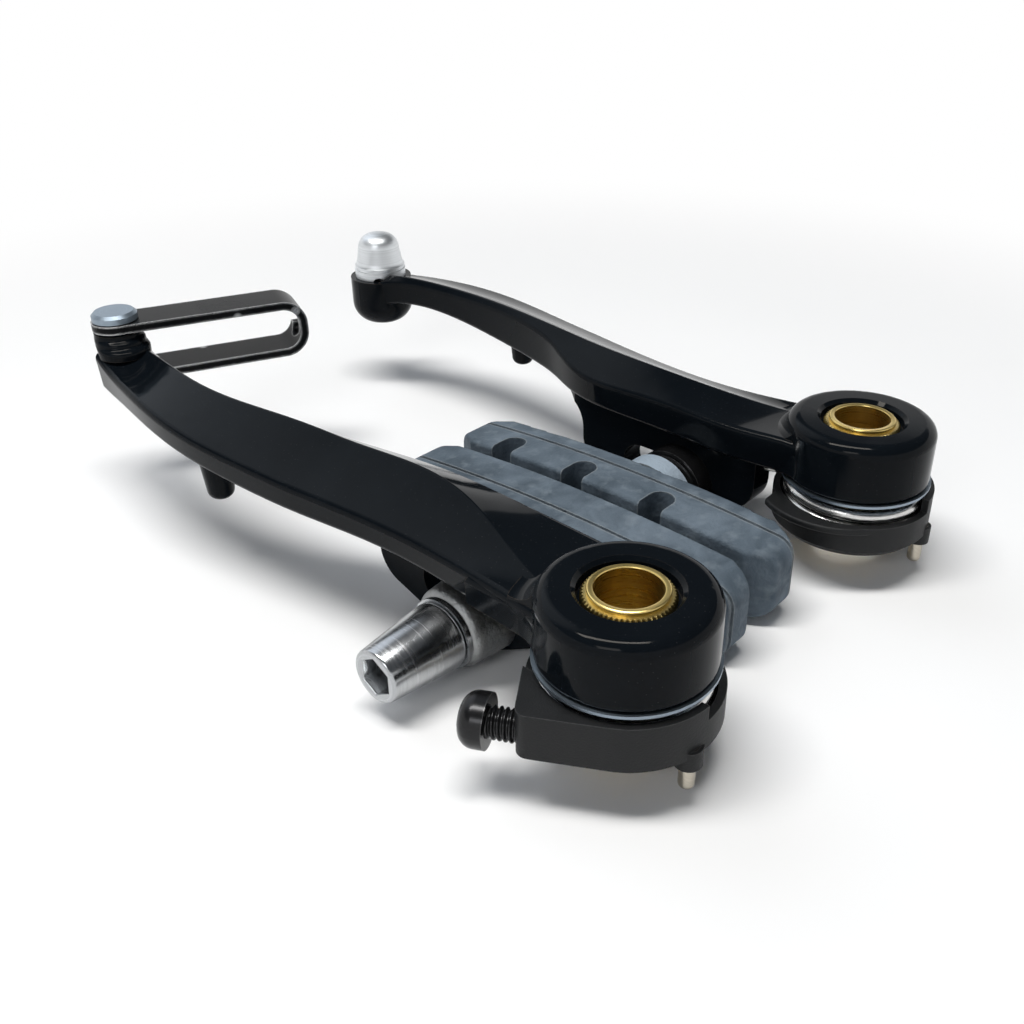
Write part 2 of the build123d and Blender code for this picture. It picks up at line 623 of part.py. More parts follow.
def brake_pad(closed_edge):
    """Rubber pad with a parting groove, a hub, and water grooves that stop at one long edge."""
    plan, back, front = pad_plan()
    middle = POST_HEIGHT + PAD_RISE
    low = middle - PAD_HEIGHT
    high = middle + PAD_HEIGHT
    slab = extrude(Plane((0, PAD_ALONG, low)) * plan, amount=high - low)
    face = Plane((back, PAD_ALONG, middle), x_dir=(0, 1, 0), z_dir=(1, 0, 0))
    pad = slab & extrude(face * pad_outline(), amount=PAD_THICKNESS)
    pad = fillet(pad.edges(), PAD_EDGE)
    outline = pad_outline()
    parting = face.offset(PAD_BACK_DEPTH) * (outline - offset(outline, -PARTING_DEPTH))
    pad -= extrude(parting, amount=PARTING_WIDTH)
    root = front - GROOVE_DEPTH + GROOVE_WIDTH / 2
    if closed_edge > 0:
        high = middle + PAD_HEIGHT / 2 - GROOVE_STOP
    else:
        low = middle - PAD_HEIGHT / 2 + GROOVE_STOP
    for place in GROOVE_PLACES:
        along = PAD_ALONG + place
        pad -= upright(GROOVE_WIDTH / 2, low, high, root, along)
        pad -= block(root, front, along - GROOVE_WIDTH / 2, along + GROOVE_WIDTH / 2, low, high)
    pad += post_bore(PAD_HUB_RADIUS, back - PAD_HUB, back)
    return pad - post_bore(POST_RADIUS + POST_FIT, back - PAD_HUB, back - PAD_HUB + POST_SEAT)


def pad_post():
    """Threaded stud from the pad through the web into the nut."""
    seat = BALL_SEAT + BALL_WASHER_EDGE
    return post_bore(POST_RADIUS, NUT_MOUTH - NUT_LENGTH + NUT_SOCKET_DEPTH, seat + POST_SEAT)


def cup_washer():
    """Inner cup washer: flat on the web, hollow towards the pad."""
    ring = ring_profile(CUP_FACE, BALL_SEAT, CUP_RADIUS)
    return on_post(ring - ball_profile(BALL_SEAT + BALL_RADIUS - BALL_DEPTH))


def ball_washer():
    """Inner ball washer: its round side sits in the cup."""
    ring = ring_profile(CUP_FACE, BALL_SEAT + BALL_WASHER_EDGE - FACE_GAP, BALL_WASHER_RADIUS)
    return on_post(ring & ball_profile(BALL_SEAT + BALL_RADIUS - BALL_DEPTH + BALL_GAP))


def outer_cup_washer():
    """Outer cup washer: a tapered spacer with a rounded shoulder, between web and collar."""
    hole = POST_RADIUS + WASHER_HOLE_GAP
    ring = make_face(Polyline(
        (OUTER_FACE, hole), (OUTER_FACE, OUTER_CUP_RADIUS),
        (OUTER_SEAT, OUTER_CUP_RADIUS - OUTER_CUP_TAPER), (OUTER_SEAT, hole), close=True))
    shoulder = ring.vertices().sort_by_distance((OUTER_SEAT, OUTER_CUP_RADIUS))[0]
    ring = fillet(shoulder, OUTER_CUP_ROUND)
    return on_post(ring - ball_profile(OUTER_SEAT - BALL_RADIUS + BALL_DEPTH))


def outer_ball_washer():
    """Outer ball washer: round side in the cup, a collar under the nut."""
    ring = ring_profile(OUTER_SEAT - COLLAR_EDGE, OUTER_FACE, COLLAR_RADIUS)
    return on_post(ring & ball_profile(OUTER_SEAT - BALL_RADIUS + BALL_DEPTH - BALL_GAP))


def pad_nut():
    """Tapered barrel nut with a hexagon socket."""
    end = NUT_MOUTH - NUT_LENGTH
    barrel = on_post(make_face(Polyline(
        (NUT_MOUTH, 0), (NUT_MOUTH, NUT_WIDE - NUT_EDGE), (NUT_MOUTH - NUT_EDGE, NUT_WIDE),
        (end + NUT_EDGE, NUT_NARROW), (end, NUT_NARROW - NUT_EDGE), (end, 0), close=True)))
    barrel -= post_bore(POST_RADIUS + NUT_THREAD_FIT, end + NUT_SOCKET_DEPTH, NUT_MOUTH)
    face = Plane((end, POST_ALONG, POST_HEIGHT), x_dir=(0, 1, 0), z_dir=(1, 0, 0))
    socket = RegularPolygon(NUT_SOCKET / 2, 6, major_radius=False)
    return barrel - extrude(face * socket, amount=NUT_SOCKET_DEPTH)


# Link and rivet at the left tip


def noodle_link():
    """Folded strap: two leaves on the rivet, joined by a bridge with the noodle's keyhole."""
    low = LEAF_BOTTOM - LINK_SHEET
    high = LEAF_TOP + LINK_SHEET
    half = LINK_WIDTH / 2
    outer = make_face(Polyline((-half, low), (LINK_LENGTH, low), (LINK_LENGTH, high),
                               (-half, high), close=True))
    outer = fillet(outer.vertices().sort_by(Axis.X)[-2:], LINK_CORNER)
    reach = LINK_LENGTH - LINK_SHEET
    inner = make_face(Polyline((-half, LEAF_BOTTOM), (reach, LEAF_BOTTOM), (reach, LEAF_TOP),
                               (-half, LEAF_TOP), close=True))
    inner = fillet(inner.vertices().sort_by(Axis.X)[-2:], LINK_CORNER - LINK_SHEET)
    side = Plane((0, half, 0), x_dir=(1, 0, 0), z_dir=(0, -1, 0)) * (outer - inner)
    strap = extrude(side, amount=LINK_WIDTH)
    plan = Circle(half) + Pos(LINK_LENGTH / 2, 0) * Rectangle(LINK_LENGTH, LINK_WIDTH)
    strap &= extrude(Plane((0, 0, low)) * plan, amount=high - low)
    strap -= upright(RIVET_RADIUS + RIVET_RUNNING, low, high)
    middle = (LEAF_BOTTOM + LEAF_TOP) / 2
    bridge = Plane((reach - OVERRUN, 0, middle), x_dir=(0, 1, 0), z_dir=(1, 0, 0))
    keyhole = Circle(NOODLE_RADIUS) + Pos(half, 0) * Rectangle(LINK_WIDTH, CABLE_SLOT)
    strap -= extrude(bridge * keyhole, amount=LINK_SHEET + 2 * OVERRUN)
    return Pos(0, TIP_REACH, 0) * Rot(0, 0, LINK_TURN) * strap


def link_rivet():
    """Rivet with a flat bevelled head and a formed foot."""
    under_head = LEAF_TOP + LINK_SHEET + LINK_GAP
    over_foot = LEAF_BOTTOM - LINK_SHEET - LINK_GAP
    top = under_head + RIVET_HEAD
    low = over_foot - RIVET_FOOT
    rivet = turned(
        (0, low), (RIVET_FOOT_RADIUS - RIVET_BEVEL, low), (RIVET_FOOT_RADIUS, low + RIVET_BEVEL),
        (RIVET_FOOT_RADIUS, over_foot), (RIVET_RADIUS, over_foot), (RIVET_RADIUS, under_head),
        (RIVET_HEAD_RADIUS, under_head), (RIVET_HEAD_RADIUS, top - RIVET_BEVEL),
        (RIVET_HEAD_RADIUS - RIVET_BEVEL, top), (0, top))
    return Pos(0, TIP_REACH, 0) * rivet


# Cable clamp at the right tip


def cable_clamp_washer():
    """Washer with a groove that grips the cable."""
    low = ANCHOR_Z + FACE_GAP
    high = low + CLAMP_THICKNESS
    ring = upright(CLAMP_RADIUS, low, high, 0, TIP_REACH)
    ring -= upright(BOLT_RADIUS + WASHER_HOLE_GAP, low, high, 0, TIP_REACH)
    place = BOLT_RADIUS + WASHER_HOLE_GAP + CABLE_RADIUS
    lane = Plane((place, TIP_REACH - CLAMP_RADIUS, low), z_dir=(0, 1, 0))
    return ring - extrude(lane * Circle(CABLE_RADIUS), amount=2 * CLAMP_RADIUS)


def cable_anchor_bolt():
    """Bolt with a domed head that flares out onto the clamp washer."""
    seat = ANCHOR_Z + FACE_GAP + CLAMP_THICKNESS + FACE_GAP
    top = seat + BOLT_HEAD_HEIGHT
    rim = (BOLT_FLANGE_RADIUS, seat + BOLT_FLANGE)
    neck = (BOLT_HEAD_RADIUS, seat + BOLT_NECK)
    shoulder = (BOLT_SHOULDER_RADIUS, top - BOLT_DOME)
    low = ANCHOR_Z - BOLT_DEPTH
    wall = Line(neck, shoulder)
    flare = Spline(rim, neck, tangents=((-1, 1), wall % 0))
    dome = Spline(shoulder, (0, top), tangents=(wall % 1, (-1, 0)))
    lines = Polyline((0, top), (0, low), (BOLT_RADIUS, low), (BOLT_RADIUS, seat),
                     (BOLT_FLANGE_RADIUS, seat), rim)
    bolt = revolve(Plane.XZ * make_face(flare + wall + dome + lines), axis=Axis.Z)
    return Pos(0, TIP_REACH, 0) * bolt


def write(name, solid):
    """Write one sub-part, already in its place."""
    export_step(solid, os.path.join("parts", name + ".step"))


def main():
    os.makedirs("parts", exist_ok=True)
    half = PIVOT_SPACING / 2
    paired = {
        "pivot_bush": pivot_bush(),
        "thrust_washer": thrust_washer(),
        "return_spring": return_spring(),
        "spring_housing": spring_housing(),
        "locating_pin": locating_pin(),
        "tension_screw": tension_screw(),
        "pad_post": pad_post(),
        "cup_washer": cup_washer(),
        "ball_washer": ball_washer(),
        "outer_cup_washer": outer_cup_washer(),
        "outer_ball_washer": outer_ball_washer(),
        "pad_nut": pad_nut(),
    }
    for name, solid in paired.items():
        write("left_" + name, Pos(-half, 0, 0) * solid)
        write("right_" + name, Pos(half, 0, 0) * mirror(solid, about=Plane.YZ))
    write("left_arm", Pos(-half, 0, 0) * link_arm())
    write("left_brake_pad", Pos(-half, 0, 0) * brake_pad(1))
    write("noodle_link", Pos(-half, 0, 0) * noodle_link())
    write("link_rivet", Pos(-half, 0, 0) * link_rivet())
    right = {
        "right_arm": cable_arm(),
        "right_brake_pad": brake_pad(-1),
        "cable_clamp_washer": cable_clamp_washer(),
        "cable_anchor_bolt": cable_anchor_bolt(),
    }
    for name, solid in right.items():
        write(name, Pos(half, 0, 0) * mirror(solid, about=Plane.YZ))


main()
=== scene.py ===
# %% [markdown]
# # A linear-pull rim brake, dressed for its portrait
#
# The brake is two forged arms that mirror each other. Each arm turns on a brass bush and carries a
# grooved rubber pad. A coil spring in a moulded housing pushes it open again. The solids come
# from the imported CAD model. This lesson gives them their finishes, and makes the few pieces that CAD
# leaves plain: spring wire, knurled bushes, nuts with soft rims, forged ledges and screw threads.

# %% Load the frame
import json

import bpy
import numpy as np
from mathutils import Matrix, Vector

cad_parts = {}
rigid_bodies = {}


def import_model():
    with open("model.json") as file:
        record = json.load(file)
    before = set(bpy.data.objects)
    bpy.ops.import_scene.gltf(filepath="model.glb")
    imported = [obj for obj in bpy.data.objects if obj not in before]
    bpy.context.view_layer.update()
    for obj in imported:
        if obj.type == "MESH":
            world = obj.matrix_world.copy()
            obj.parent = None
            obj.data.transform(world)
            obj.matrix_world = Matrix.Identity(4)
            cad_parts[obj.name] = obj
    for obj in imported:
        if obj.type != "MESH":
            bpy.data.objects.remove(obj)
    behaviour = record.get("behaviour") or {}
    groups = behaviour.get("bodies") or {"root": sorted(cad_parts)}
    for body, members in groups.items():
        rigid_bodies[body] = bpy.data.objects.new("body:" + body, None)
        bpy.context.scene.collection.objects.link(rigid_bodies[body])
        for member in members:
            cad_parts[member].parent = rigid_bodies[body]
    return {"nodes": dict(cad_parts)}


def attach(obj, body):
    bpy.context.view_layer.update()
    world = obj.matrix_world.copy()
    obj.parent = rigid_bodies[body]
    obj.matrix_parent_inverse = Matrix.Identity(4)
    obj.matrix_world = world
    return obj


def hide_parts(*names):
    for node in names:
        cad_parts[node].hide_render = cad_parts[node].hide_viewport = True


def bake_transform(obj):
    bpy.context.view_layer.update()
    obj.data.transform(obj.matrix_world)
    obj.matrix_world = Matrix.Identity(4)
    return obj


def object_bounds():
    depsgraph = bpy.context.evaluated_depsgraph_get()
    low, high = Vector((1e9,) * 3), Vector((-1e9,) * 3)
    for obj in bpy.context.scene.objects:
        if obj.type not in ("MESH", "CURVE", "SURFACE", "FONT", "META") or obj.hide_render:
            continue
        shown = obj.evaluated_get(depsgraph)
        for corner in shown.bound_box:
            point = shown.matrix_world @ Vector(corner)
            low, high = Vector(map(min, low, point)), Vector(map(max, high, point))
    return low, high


for leftover in list(bpy.data.objects):
    bpy.data.objects.remove(leftover, do_unlink=True)
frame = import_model()
cad_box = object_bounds()
nodes = frame["nodes"]
MM = 0.001
print("nodes:", len(nodes), "box in mm:", [[round(v / MM, 1) for v in corner] for corner in cad_box])

# %% [markdown]
# ## Camera
#
# The photograph was taken from close by, so the near boss looks much larger than the far one. A long
# lens would flatten that. The camera stands at the same place, about 120 mm from the near boss, looks
# 29 degrees down, and shifts its sensor a little to frame the brake.

# %% Camera
IMAGE_SIZE = 1024
EYE = np.array([-106.86, -56.19, 84.37]) * MM
HEADING, DOWNWARD = np.radians([40.24, 28.8])
FOCAL_PIXELS = 1057.3
SENSOR = 36.0
AXIS_PIXEL = (558.4, 474.9)


def stand(across, upright, back, place_at):
    """Matrix that lays an object's x, y and z axes along across, upright and back, at a place."""
    matrix = np.eye(4)
    matrix[:3] = np.column_stack([across, upright, back, place_at])
    return Matrix(matrix.tolist())


look = np.array([np.cos(HEADING) * np.cos(DOWNWARD), np.sin(HEADING) * np.cos(DOWNWARD), -np.sin(DOWNWARD)])
right = np.array([np.sin(HEADING), -np.cos(HEADING), 0.0])
camera = bpy.data.objects.new("portrait_camera", bpy.data.cameras.new("portrait_camera"))
camera.matrix_world = stand(right, np.cross(right, look), -look, EYE)
camera.data.sensor_width = SENSOR
camera.data.lens = FOCAL_PIXELS / IMAGE_SIZE * SENSOR
camera.data.shift_x = (IMAGE_SIZE / 2 - AXIS_PIXEL[0]) / IMAGE_SIZE
camera.data.shift_y = (AXIS_PIXEL[1] - IMAGE_SIZE / 2) / IMAGE_SIZE
camera.data.clip_start = 0.005
bpy.context.scene.collection.objects.link(camera)
bpy.context.scene.camera = camera
bpy.context.scene.view_settings.view_transform = "Standard"
print("lens in mm:", round(camera.data.lens, 2))

# %% [markdown]
# ## Node helpers
#
# Every finish below is a small tree of shader nodes. A few helpers keep the trees short: they add a node and
# fill its sockets by name or number, start a material or a shared group, and feed the shader at the end.
# The rest blend colours by a mask, stretch a mask to a range, and turn a height into a bent normal.

# %% Nodes, materials and groups


def add(tree, kind, inputs=None, **settings):
    """Add a shader node, set its settings, and fill or link its inputs."""
    node = tree.nodes.new("ShaderNode" + kind)
    for name, value in settings.items():
        setattr(node, name, value)
    for name, value in (inputs or {}).items():
        if isinstance(value, bpy.types.NodeSocket):
            tree.links.new(value, node.inputs[name])
        else:
            node.inputs[name].default_value = value
    return node


def start_material(name, **sockets):
    """Make a material with one Principled shader, its constants set on its own sockets."""
    material = bpy.data.materials.new(name)
    material.use_nodes = True
    tree = material.node_tree
    shader = tree.nodes["Principled BSDF"]
    for socket, value in sockets.items():
        shader.inputs[socket.replace("_", " ")].default_value = value
    return material, tree, shader


def start_group(name, inputs, outputs):
    """Make a shader node group with named float or vector sockets."""
    group = bpy.data.node_groups.new(name, "ShaderNodeTree")
    for socket, default in inputs.items():
        kind = "NodeSocketVector" if isinstance(default, tuple) else "NodeSocketFloat"
        made = group.interface.new_socket(socket, in_out="INPUT", socket_type=kind)
        made.default_value = default
    for socket in outputs:
        group.interface.new_socket(socket, in_out="OUTPUT", socket_type="NodeSocketFloat")
    return group, group.nodes.new("NodeGroupInput"), group.nodes.new("NodeGroupOutput")


# %% Placing, feeding, blending
MIX_LOW, MIX_HIGH, MIX_RESULT = 6, 7, 2  # the colour sockets among all sockets of a Mix node


def place(tree, group, **inputs):
    """Place a node group in a tree and fill its inputs; an underscore stands for a space."""
    named = {name.replace("_", " "): value for name, value in inputs.items()}
    return add(tree, "Group", named, node_tree=group)


def feed(node, **outputs):
    """Link outputs to the sockets of a shader or group output; an underscore stands for a space."""
    for name, output in outputs.items():
        node.id_data.links.new(output, node.inputs[name.replace("_", " ")])


def mix_colour(tree, mask, low, high):
    """Blend two colours, or a socket and a colour, by a mask."""
    low, high = (c if isinstance(c, bpy.types.NodeSocket) else (*c, 1.0) for c in (low, high))
    node = add(tree, "Mix", {"Factor": mask, MIX_LOW: low, MIX_HIGH: high}, data_type="RGBA")
    return node.outputs[MIX_RESULT]


def spread(tree, value, low, high):
    """Map a mask from 0-1 to the range low-high."""
    return add(tree, "MapRange", {"Value": value, "To Min": low, "To Max": high}).outputs["Result"]


def relief(tree, height, strength, distance):
    """Normal bent by a height; distance, in metres, is the depth at full strength."""
    bump = add(tree, "Bump", {"Height": height, "Strength": strength, "Distance": distance})
    return bump.outputs["Normal"]


# %% [markdown]
# ## Shared effects
#
# Paint wears thin on edges, mouldings have a fine grain, handled metal has soft smears, and turned metal has
# rings round its axis. More than one finish uses each of these, so each is one node group.
# Edge wear compares the true normal with one rounded over a small radius: they differ only near edges.

# %% Edge wear
wear_group, wear_in, wear_out = start_group(
    "edge_wear", {"Radius": 0.0003, "Patch Scale": 900.0, "Onset": 0.12}, ["Mask"])
rounded = add(wear_group, "Bevel", {"Radius": wear_in.outputs["Radius"]}, samples=6)
surface = add(wear_group, "NewGeometry")
agree = add(wear_group, "VectorMath", {0: rounded.outputs["Normal"], 1: surface.outputs["Normal"]},
            operation="DOT_PRODUCT")
differ = add(wear_group, "Math", {0: 1.0, 1: agree.outputs["Value"]}, operation="SUBTRACT")
where = add(wear_group, "TexCoord")
patches = add(wear_group, "TexNoise", {
    "Vector": where.outputs["Object"], "Scale": wear_in.outputs["Patch Scale"], "Detail": 4.0})
broken = add(wear_group, "Math", {0: differ.outputs["Value"], 1: patches.outputs["Fac"]},
             operation="MULTIPLY")
edge_mask = add(wear_group, "MapRange", {
    "Value": broken.outputs["Value"], "From Min": 0.02, "From Max": wear_in.outputs["Onset"]})
feed(wear_out, Mask=edge_mask.outputs["Result"])
print("group:", wear_group.name)

# %% Moulded grain
BROAD_TO_FINE = 0.08
grain_group, grain_in, grain_out = start_group("moulded_grain", {"Scale": 2500.0}, ["Height", "Patch"])
where = add(grain_group, "TexCoord")
fine = add(grain_group, "TexNoise", {
    "Vector": where.outputs["Object"], "Scale": grain_in.outputs["Scale"], "Detail": 3.0})
broad_scale = add(grain_group, "Math", {0: grain_in.outputs["Scale"], 1: BROAD_TO_FINE},
                  operation="MULTIPLY")
broad = add(grain_group, "TexNoise", {
    "Vector": where.outputs["Object"], "Scale": broad_scale.outputs["Value"], "Detail": 5.0})
feed(grain_out, Height=fine.outputs["Fac"], Patch=broad.outputs["Fac"])
print("group:", grain_group.name)

# %% Handling smears
SPECK_TO_SMEAR = 24.0
smear_group, smear_in, smear_out = start_group("handling_smears", {"Scale": 60.0}, ["Smear", "Speck"])
where = add(smear_group, "TexCoord")
smear = add(smear_group, "TexNoise", {
    "Vector": where.outputs["Object"], "Scale": smear_in.outputs["Scale"], "Detail": 6.0, "Distortion": 1.2})
speck_scale = add(smear_group, "Math", {0: smear_in.outputs["Scale"], 1: SPECK_TO_SMEAR},
                  operation="MULTIPLY")
specks = add(smear_group, "TexVoronoi", {
    "Vector": where.outputs["Object"], "Scale": speck_scale.outputs["Value"], "Randomness": 1.0})
speck_mask = add(smear_group, "MapRange", {
    "Value": specks.outputs["Distance"], "From Min": 0.13, "From Max": 0.05})
feed(smear_out, Smear=smear.outputs["Fac"], Speck=speck_mask.outputs["Result"])
print("group:", smear_group.name)

# %% Turning rings
rings_group, rings_in, rings_out = start_group(
    "turning_rings", {"Place": (0.0, 0.0, 0.0), "Scale": 3000.0}, ["Ring", "Height"])
parts = add(rings_group, "SeparateXYZ", {"Vector": rings_in.outputs["Place"]})
across = add(rings_group, "CombineXYZ", {"X": parts.outputs["X"], "Y": parts.outputs["Y"]})
radius = add(rings_group, "VectorMath", {0: across.outputs["Vector"]}, operation="LENGTH")
travel = add(rings_group, "Math", {0: radius.outputs["Value"], 1: parts.outputs["Z"]}, operation="ADD")
ring = add(rings_group, "TexNoise", {
    "W": travel.outputs["Value"], "Scale": rings_in.outputs["Scale"], "Detail": 4.0, "Roughness": 0.7},
    noise_dimensions="1D")
feed(rings_out, Ring=ring.outputs["Fac"], Height=ring.outputs["Fac"])
print("group:", rings_group.name)

# %% [markdown]
# ## Black finishes
#
# The arms are forged alloy with a smooth gloss black finish: a very dark base under a faint mirror, with
# smears that dull the gloss in places, and a painted tan reflection along their edges, standing in for a
# warm room mirrored there. The folded link is coated steel, rubbed bright along its edges.
# The housings are moulded plastic with a fine matte grain, and the screws are blackened steel.

# %% Arm coat
DEEP_BLACK, SMEARED_BLACK = (0.0022, 0.0034, 0.005), (0.0062, 0.0085, 0.0112)
DUST_SPECK, TAN_EDGE_REFLECTION = (0.02, 0.021, 0.023), (0.16, 0.12, 0.085)
arm_coat, tree, shader = start_material(
    "arm_gloss_black", Specular_IOR_Level=0.07, Specular_Tint=(1.0, 0.95, 0.87, 1.0))
handled = place(tree, smear_group, Scale=55.0)
worn = place(tree, wear_group, Radius=0.00025, Patch_Scale=1400.0, Onset=0.22)
ripple = place(tree, grain_group, Scale=900.0)
coat_tone = mix_colour(tree, handled.outputs["Smear"], DEEP_BLACK, SMEARED_BLACK)
coat_tone = mix_colour(tree, handled.outputs["Speck"], coat_tone, DUST_SPECK)
# Painted reflection: the edge mask blends the arms' edges towards tan, standing in for the warm room that
# the gloss mirrors along them; it is not wear.
edge_reflection = spread(tree, worn.outputs["Mask"], 0.0, 0.35)
feed(shader, Base_Color=mix_colour(tree, edge_reflection, coat_tone, TAN_EDGE_REFLECTION),
     Roughness=spread(tree, handled.outputs["Smear"], 0.03, 0.14),
     Normal=relief(tree, ripple.outputs["Patch"], 0.05, 0.0002))
print("finish:", arm_coat.name)

# %% Link coat
LINK_BLACK, BARE_STEEL = (0.006, 0.0065, 0.007), (0.62, 0.62, 0.62)
link_coat, tree, shader = start_material("link_black_steel", Specular_IOR_Level=0.06)
handled = place(tree, smear_group, Scale=90.0)
knocks = place(tree, smear_group, Scale=6.0)
worn = place(tree, wear_group, Radius=0.0008, Patch_Scale=1300.0, Onset=0.11)
bare = add(tree, "Math", {0: worn.outputs["Mask"], 1: knocks.outputs["Speck"]},
           operation="MAXIMUM").outputs["Value"]
feed(shader, Base_Color=mix_colour(tree, bare, LINK_BLACK, BARE_STEEL),
     Metallic=spread(tree, bare, 0.0, 0.85),
     Roughness=spread(tree, handled.outputs["Smear"], 0.12, 0.36))
print("finish:", link_coat.name)

# %% Housing plastic
PLASTIC_DARK, PLASTIC_PALE = (0.004, 0.0045, 0.005), (0.01, 0.0108, 0.0118)
PLASTIC_EDGE = (0.075, 0.075, 0.077)
housing_plastic, tree, shader = start_material("housing_matte_black", Specular_IOR_Level=0.28)
texture = place(tree, grain_group, Scale=4600.0)
worn = place(tree, wear_group, Radius=0.0003, Patch_Scale=1500.0, Onset=0.25)
plastic_tone = mix_colour(tree, texture.outputs["Patch"], PLASTIC_DARK, PLASTIC_PALE)
feed(shader, Base_Color=mix_colour(tree, worn.outputs["Mask"], plastic_tone, PLASTIC_EDGE),
     Roughness=spread(tree, texture.outputs["Patch"], 0.42, 0.62),
     Normal=relief(tree, texture.outputs["Height"], 0.35, 0.00012))
print("finish:", housing_plastic.name)

# %% Blackened steel
SCREW_BLACK, SCREW_EDGE = (0.016, 0.016, 0.017), (0.12, 0.12, 0.12)
black_steel, tree, shader = start_material("screw_black_steel", Metallic=0.6)
texture = place(tree, grain_group, Scale=2200.0)
worn = place(tree, wear_group, Radius=0.0003, Patch_Scale=1500.0, Onset=0.2)
feed(shader, Base_Color=mix_colour(tree, worn.outputs["Mask"], SCREW_BLACK, SCREW_EDGE),
     Roughness=spread(tree, texture.outputs["Patch"], 0.15, 0.32))
print("finish:", black_steel.name)

# %% [markdown]
# ## Rubber pads
#
# The pads are slate grey rubber, pressed in a steel mould. New rubber has a cloudy bloom on it and pale
# scuffs on its edges. Noise at two scales gives the cloud, a fine bump gives the pressed skin. The hub
# behind each pad is the metal foot of its post, only half metallic, with a pale base colour that paints in
# its bright reflection; a step in the distance from the middle marks it off.

# %% Pad tones
SLATE_DARK, SLATE_PALE, BLOOM = (0.05, 0.07, 0.09), (0.135, 0.172, 0.21), (0.2, 0.24, 0.275)
PIT, SCUFF = (0.045, 0.055, 0.066), (0.25, 0.275, 0.29)
pad_rubber, tree, shader = start_material("pad_slate_rubber", Specular_IOR_Level=0.3)
texture = place(tree, grain_group, Scale=2000.0)
blotch = place(tree, grain_group, Scale=5200.0)
handled = place(tree, smear_group, Scale=110.0)
worn = place(tree, wear_group, Radius=0.0006, Patch_Scale=800.0, Onset=0.16)
cloud = add(tree, "MapRange", {"Value": handled.outputs["Smear"], "From Min": 0.3, "From Max": 0.7})
dusty = add(tree, "MapRange", {
    "Value": blotch.outputs["Patch"], "From Min": 0.52, "From Max": 0.75, "To Max": 0.6})
rubber_tone = mix_colour(tree, cloud.outputs["Result"], SLATE_DARK, SLATE_PALE)
rubber_tone = mix_colour(tree, dusty.outputs["Result"], rubber_tone, BLOOM)
rubber_tone = mix_colour(tree, handled.outputs["Speck"], rubber_tone, PIT)
rubber_tone = mix_colour(tree, worn.outputs["Mask"], rubber_tone, SCUFF)
print("rubber tones:", len(tree.nodes), "nodes")

# %% Pad hub and skin
HUB_FROM, HUB_EDGE = 11.18 * MM, 0.05 * MM
# Painted reflection: the hub's pale bluish base colour, under a half-metallic mix, stands in for the bright
# light its steel would mirror.
HUB_METAL_AND_REFLECTION, HUB_DULL = (0.56, 0.67, 0.78), 0.3
where = add(tree, "TexCoord")
parts = add(tree, "SeparateXYZ", {"Vector": where.outputs["Object"]})
aside = add(tree, "Math", {0: parts.outputs["X"]}, operation="ABSOLUTE")
hub = add(tree, "MapRange", {
    "Value": aside.outputs["Value"], "From Min": HUB_FROM, "From Max": HUB_FROM + HUB_EDGE})
hub = hub.outputs["Result"]
skin = spread(tree, texture.outputs["Patch"], 0.6, 0.88)
dull = add(tree, "MapRange", {"Value": hub, "To Min": skin, "To Max": HUB_DULL})
lumps = add(tree, "Math", {0: texture.outputs["Height"], 1: blotch.outputs["Patch"]}, operation="ADD")
feed(shader, Base_Color=mix_colour(tree, hub, rubber_tone, HUB_METAL_AND_REFLECTION),
     Metallic=spread(tree, hub, 0.0, 0.45),
     Roughness=dull.outputs["Result"],
     Normal=relief(tree, lumps.outputs["Value"], 0.5, 0.0003))
print("finish:", pad_rubber.name)

# %% [markdown]
# ## Turned metals
#
# Bushes, nuts, collars and the cable bolt come off a lathe, so their marks run round the axis. The ring
# group needs the axis of each piece: a Mapping node moves the middle of the pattern onto that axis and
# turns the axis to Z. One function makes each turned finish from its colour, its shine and its axis.

# %% Turned metal
PIVOT_X = 28.4 * MM
POST_Y = 26.0 * MM
POST_Z = 0.8 * MM
TIP_Y = 105.5 * MM
TO_POST_AXIS = (0.0, np.radians(90.0), 0.0)
GROOVE_SHADE = 0.62


def turned_metal(name, colour, dull, axis_at, turn=(0.0, 0.0, 0.0), ring_scale=3000.0, ring_depth=0.12):
    """Metal with rings round the axis through axis_at; dull is the lowest and highest roughness."""
    material, tree, shader = start_material(name, Metallic=1.0)
    where = add(tree, "TexCoord")
    centred = add(tree, "Mapping", {
        "Vector": where.outputs["Object"], "Location": axis_at, "Rotation": turn}, vector_type="TEXTURE")
    turned = place(tree, rings_group, Place=centred.outputs["Vector"], Scale=ring_scale)
    handled = place(tree, smear_group, Scale=120.0)
    darker = tuple(GROOVE_SHADE * c for c in colour)
    tone = mix_colour(tree, turned.outputs["Ring"], darker, colour)
    marks = add(tree, "Math", {0: turned.outputs["Ring"], 1: handled.outputs["Smear"]}, operation="MULTIPLY")
    shine = add(tree, "MapRange", {
        "Value": marks.outputs["Value"], "From Max": 0.5, "To Min": dull[0], "To Max": dull[1]})
    feed(shader, Base_Color=mix_colour(tree, handled.outputs["Speck"], tone, darker),
         Roughness=shine.outputs["Result"],
         Normal=relief(tree, turned.outputs["Height"], ring_depth, 0.0001))
    return material


